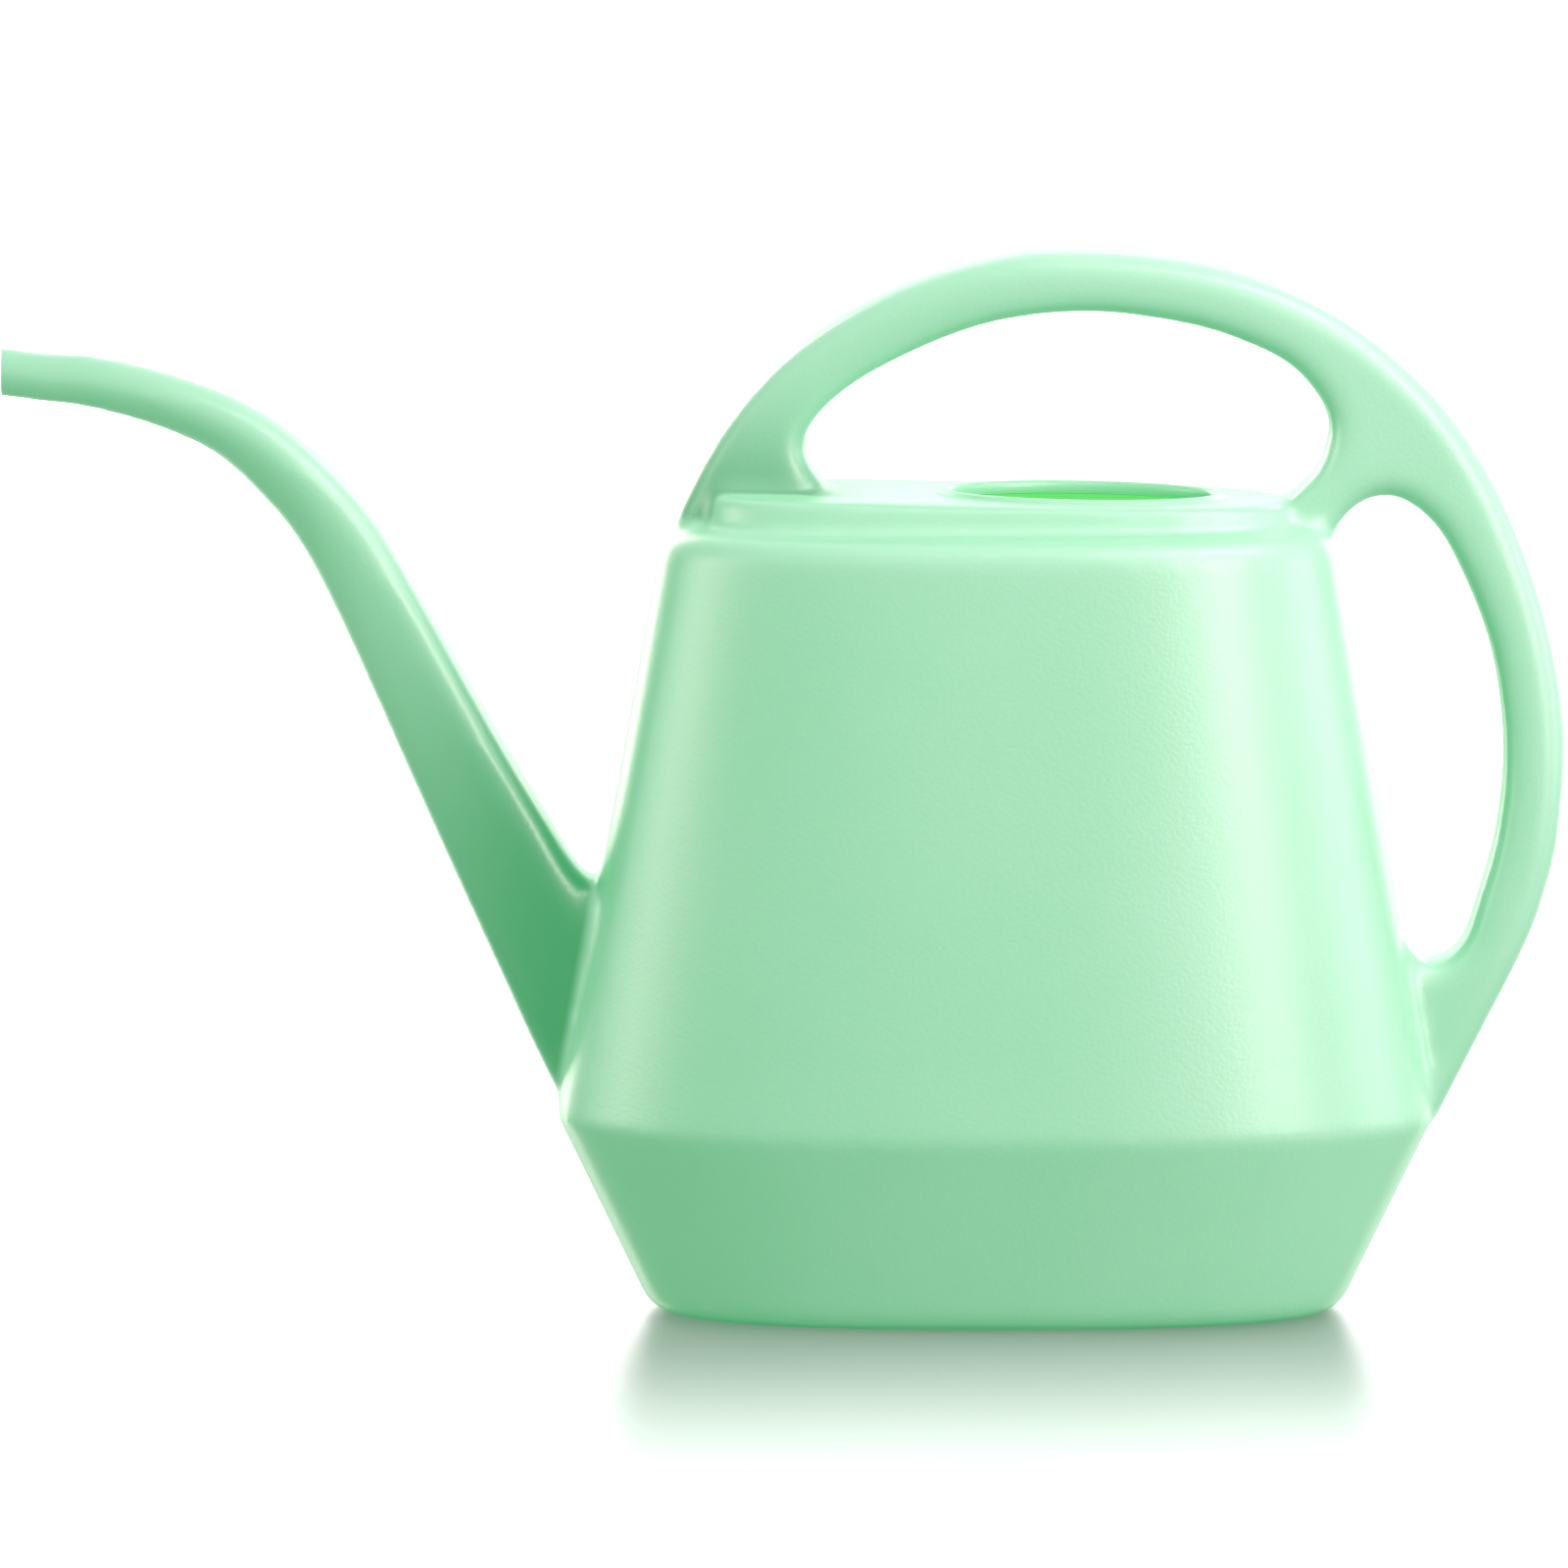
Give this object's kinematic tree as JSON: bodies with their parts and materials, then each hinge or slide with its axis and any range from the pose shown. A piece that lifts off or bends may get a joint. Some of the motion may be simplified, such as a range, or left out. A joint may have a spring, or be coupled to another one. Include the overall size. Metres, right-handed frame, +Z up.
{
  "type": "watering can",
  "caption": "Slim blow-moulded garden watering can with a long arched spout, a raised filler deck with an open oval mouth, and a hoop handle running over the top and down the back",
  "frame": {"origin": "Middle of the whole can's footprint, spout tip to back of handle, on the floor it stands on.", "axes": "+Z is up, -X is the way the spout points, +X is the handle side, and Y is across the can, with the mid-plane of spout and handle at Y = 0."},
  "size_m": [0.4294, 0.104, 0.2945],
  "materials": {
    "mint_plastic": "satin mint-green polyethylene with a fine moulded grain"
  },
  "bodies": {
    "root": {"base_pan": "mint_plastic", "lower_bowl": "mint_plastic", "tank_flank": "mint_plastic", "shoulder_ledge": "mint_plastic", "filler_deck": "mint_plastic", "fill_rim": "mint_plastic", "spout_root": "mint_plastic", "spout_neck": "mint_plastic", "spout_outlet": "mint_plastic", "handle_front_foot": "mint_plastic", "handle_top_grip": "mint_plastic", "handle_bridge": "mint_plastic", "handle_rear_grip": "mint_plastic", "handle_lower_foot": "mint_plastic"}
  },
  "joints": []
}
